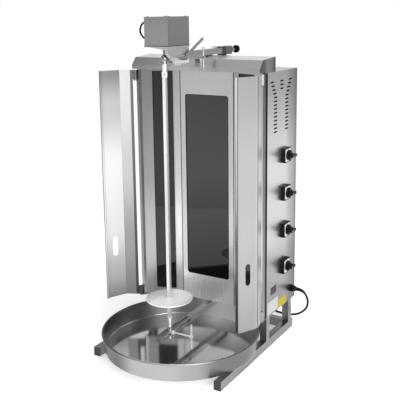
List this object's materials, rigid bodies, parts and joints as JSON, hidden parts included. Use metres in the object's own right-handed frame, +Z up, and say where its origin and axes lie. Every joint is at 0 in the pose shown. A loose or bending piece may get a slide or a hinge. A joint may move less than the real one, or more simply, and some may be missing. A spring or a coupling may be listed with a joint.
{
  "type": "electric doner kebab grill",
  "caption": "Upright electric grill with a motor-driven vertical spit, a folded heater cabinet with glass windows, hinged side doors and a round drip pan.",
  "frame": {"origin": "centre of the stand's footprint, on the surface that it rests on", "axes": "+X to the right as seen from the front, +Y to the back, +Z up"},
  "size_m": [0.6515, 0.8448, 1.149],
  "materials": {
    "stainless": "brushed stainless sheet",
    "polished_steel": "polished stainless",
    "black_plastic": "satin moulded plastic",
    "dark_metal": "dark grey painted metal",
    "smoked_glass": "grey heat-proof glass ceramic",
    "heater_metal": "dark oxidised sheath",
    "ceramic": "glazed ceramic",
    "cord_rubber": "matt rubber sheath",
    "label_plate": "bare printed plate"
  },
  "bodies": {
    "base": {"left_stand": "stainless", "right_stand": "stainless", "rear_cross_tube": "stainless", "rail_end_caps": "black_plastic", "left_side_panel": "stainless", "right_side_panel": "polished_steel", "rear_panel": "stainless", "floor_panel": "stainless", "roof_panel": "stainless", "hood": "polished_steel", "centre_panel": "stainless", "left_wing_panel": "stainless", "right_wing_panel": "stainless", "centre_glass": "smoked_glass", "left_glass": "smoked_glass", "right_glass": "smoked_glass", "upper_heater": "heater_metal", "lower_heater": "heater_metal", "left_heater": "heater_metal", "right_heater": "heater_metal", "heat_shield": "stainless", "terminal_block": "ceramic", "switch_boxes": "black_plastic", "cable_gland": "black_plastic", "mains_cord": "cord_rubber", "cord_coil": "cord_rubber", "plug_tail": "cord_rubber", "cord_tie": "cord_rubber", "mains_plug": "black_plastic", "blank_labels": "label_plate", "panel_screws": "polished_steel", "hinge_pins": "stainless", "bar_supports": "stainless", "lower_arm": "stainless"},
    "carriage_assembly": {"slide_bar": "stainless", "carriage": "stainless", "slide_sleeve": "stainless", "motor_box": "stainless", "motor_box_screws": "dark_metal", "gear_motor": "dark_metal", "output_bearing": "dark_metal", "motor_cable": "cord_rubber"},
    "spit": {"drive_bell": "polished_steel", "spit_head": "polished_steel", "spit_shaft": "polished_steel"},
    "thumb_grip": {"thumb_screw": "polished_steel"},
    "disc": {"meat_disc": "stainless"},
    "clamp": {"clamp_screw": "polished_steel"},
    "lever": {"lock_lever": "dark_metal"},
    "lower_slider": {"lower_bearing": "stainless"},
    "lower_grip": {"lower_clamp": "polished_steel"},
    "pan": {"drip_pan": "polished_steel"},
    "left_leaf": {"left_door": "stainless"},
    "right_leaf": {"right_door": "stainless"},
    "knob_1": {"top_knob": "black_plastic"},
    "knob_2": {"second_knob": "black_plastic"},
    "knob_3": {"third_knob": "black_plastic"},
    "knob_4": {"bottom_knob": "black_plastic"},
    "tail_grip": {"draw_screw": "polished_steel", "tail_knob": "black_plastic"}
  },
  "joints": [
    {"name": "carriage_slide", "type": "slide", "parent": "base", "child": "carriage_assembly", "axis": [0, 1, 0], "range_m": [-0.025, 0.08]},
    {"name": "tail_grip_turn", "type": "hinge", "parent": "carriage_assembly", "child": "tail_grip", "pos_m": [0, 0.3, 1.024], "axis": [0, 1, 0], "range_deg": [0, 360]},
    {"name": "clamp_screw_turn", "type": "hinge", "parent": "carriage_assembly", "child": "clamp", "pos_m": [0.105, -0.112, 1.019], "axis": [1, 0, 0], "range_deg": [0, 360]},
    {"name": "lock_lever_swing", "type": "hinge", "parent": "carriage_assembly", "child": "lever", "pos_m": [0.034, -0.112, 1.019], "axis": [1, 0, 0], "range_deg": [-20, 60]},
    {"name": "spit_turn", "type": "hinge", "parent": "carriage_assembly", "child": "spit", "pos_m": [0, -0.175, 0.6], "axis": [0, 0, 1], "continuous": true},
    {"name": "thumb_screw_turn", "type": "hinge", "parent": "spit", "child": "thumb_grip", "pos_m": [-0.012, -0.175, 1.005], "axis": [1, 0, 0], "range_deg": [0, 360]},
    {"name": "disc_height", "type": "slide", "parent": "spit", "child": "disc", "axis": [0, 0, 1], "range_m": [0, 0.5]},
    {"name": "lower_bearing_slide", "type": "slide", "parent": "base", "child": "lower_slider", "axis": [0, 1, 0], "range_m": [-0.025, 0.08]},
    {"name": "lower_clamp_turn", "type": "hinge", "parent": "lower_slider", "child": "lower_grip", "pos_m": [0.084, -0.175, 0.103], "axis": [1, 0, 0], "range_deg": [0, 360]},
    {"name": "left_door_hinge", "type": "hinge", "parent": "base", "child": "left_leaf", "pos_m": [-0.25, 0.013, 0.54], "axis": [0, 0, 1], "range_deg": [-26, 95]},
    {"name": "right_door_hinge", "type": "hinge", "parent": "base", "child": "right_leaf", "pos_m": [0.25, 0.013, 0.54], "axis": [0, 0, 1], "range_deg": [-43, 78]},
    {"name": "pan_pull", "type": "slide", "parent": "base", "child": "pan", "axis": [0, -1, 0], "range_m": [0, 0.2]},
    {"name": "heat_knob_1", "type": "hinge", "parent": "base", "child": "knob_1", "pos_m": [0.27, 0.187, 0.67], "axis": [1, 0, 0], "range_deg": [0, 270]},
    {"name": "heat_knob_2", "type": "hinge", "parent": "base", "child": "knob_2", "pos_m": [0.27, 0.187, 0.536], "axis": [1, 0, 0], "range_deg": [0, 270]},
    {"name": "heat_knob_3", "type": "hinge", "parent": "base", "child": "knob_3", "pos_m": [0.27, 0.187, 0.402], "axis": [1, 0, 0], "range_deg": [0, 270]},
    {"name": "heat_knob_4", "type": "hinge", "parent": "base", "child": "knob_4", "pos_m": [0.27, 0.187, 0.268], "axis": [1, 0, 0], "range_deg": [0, 270]}
  ],
  "couplings": [
    {"joint": "lower_bearing_slide", "follows": "carriage_slide", "ratio": 1}
  ]
}
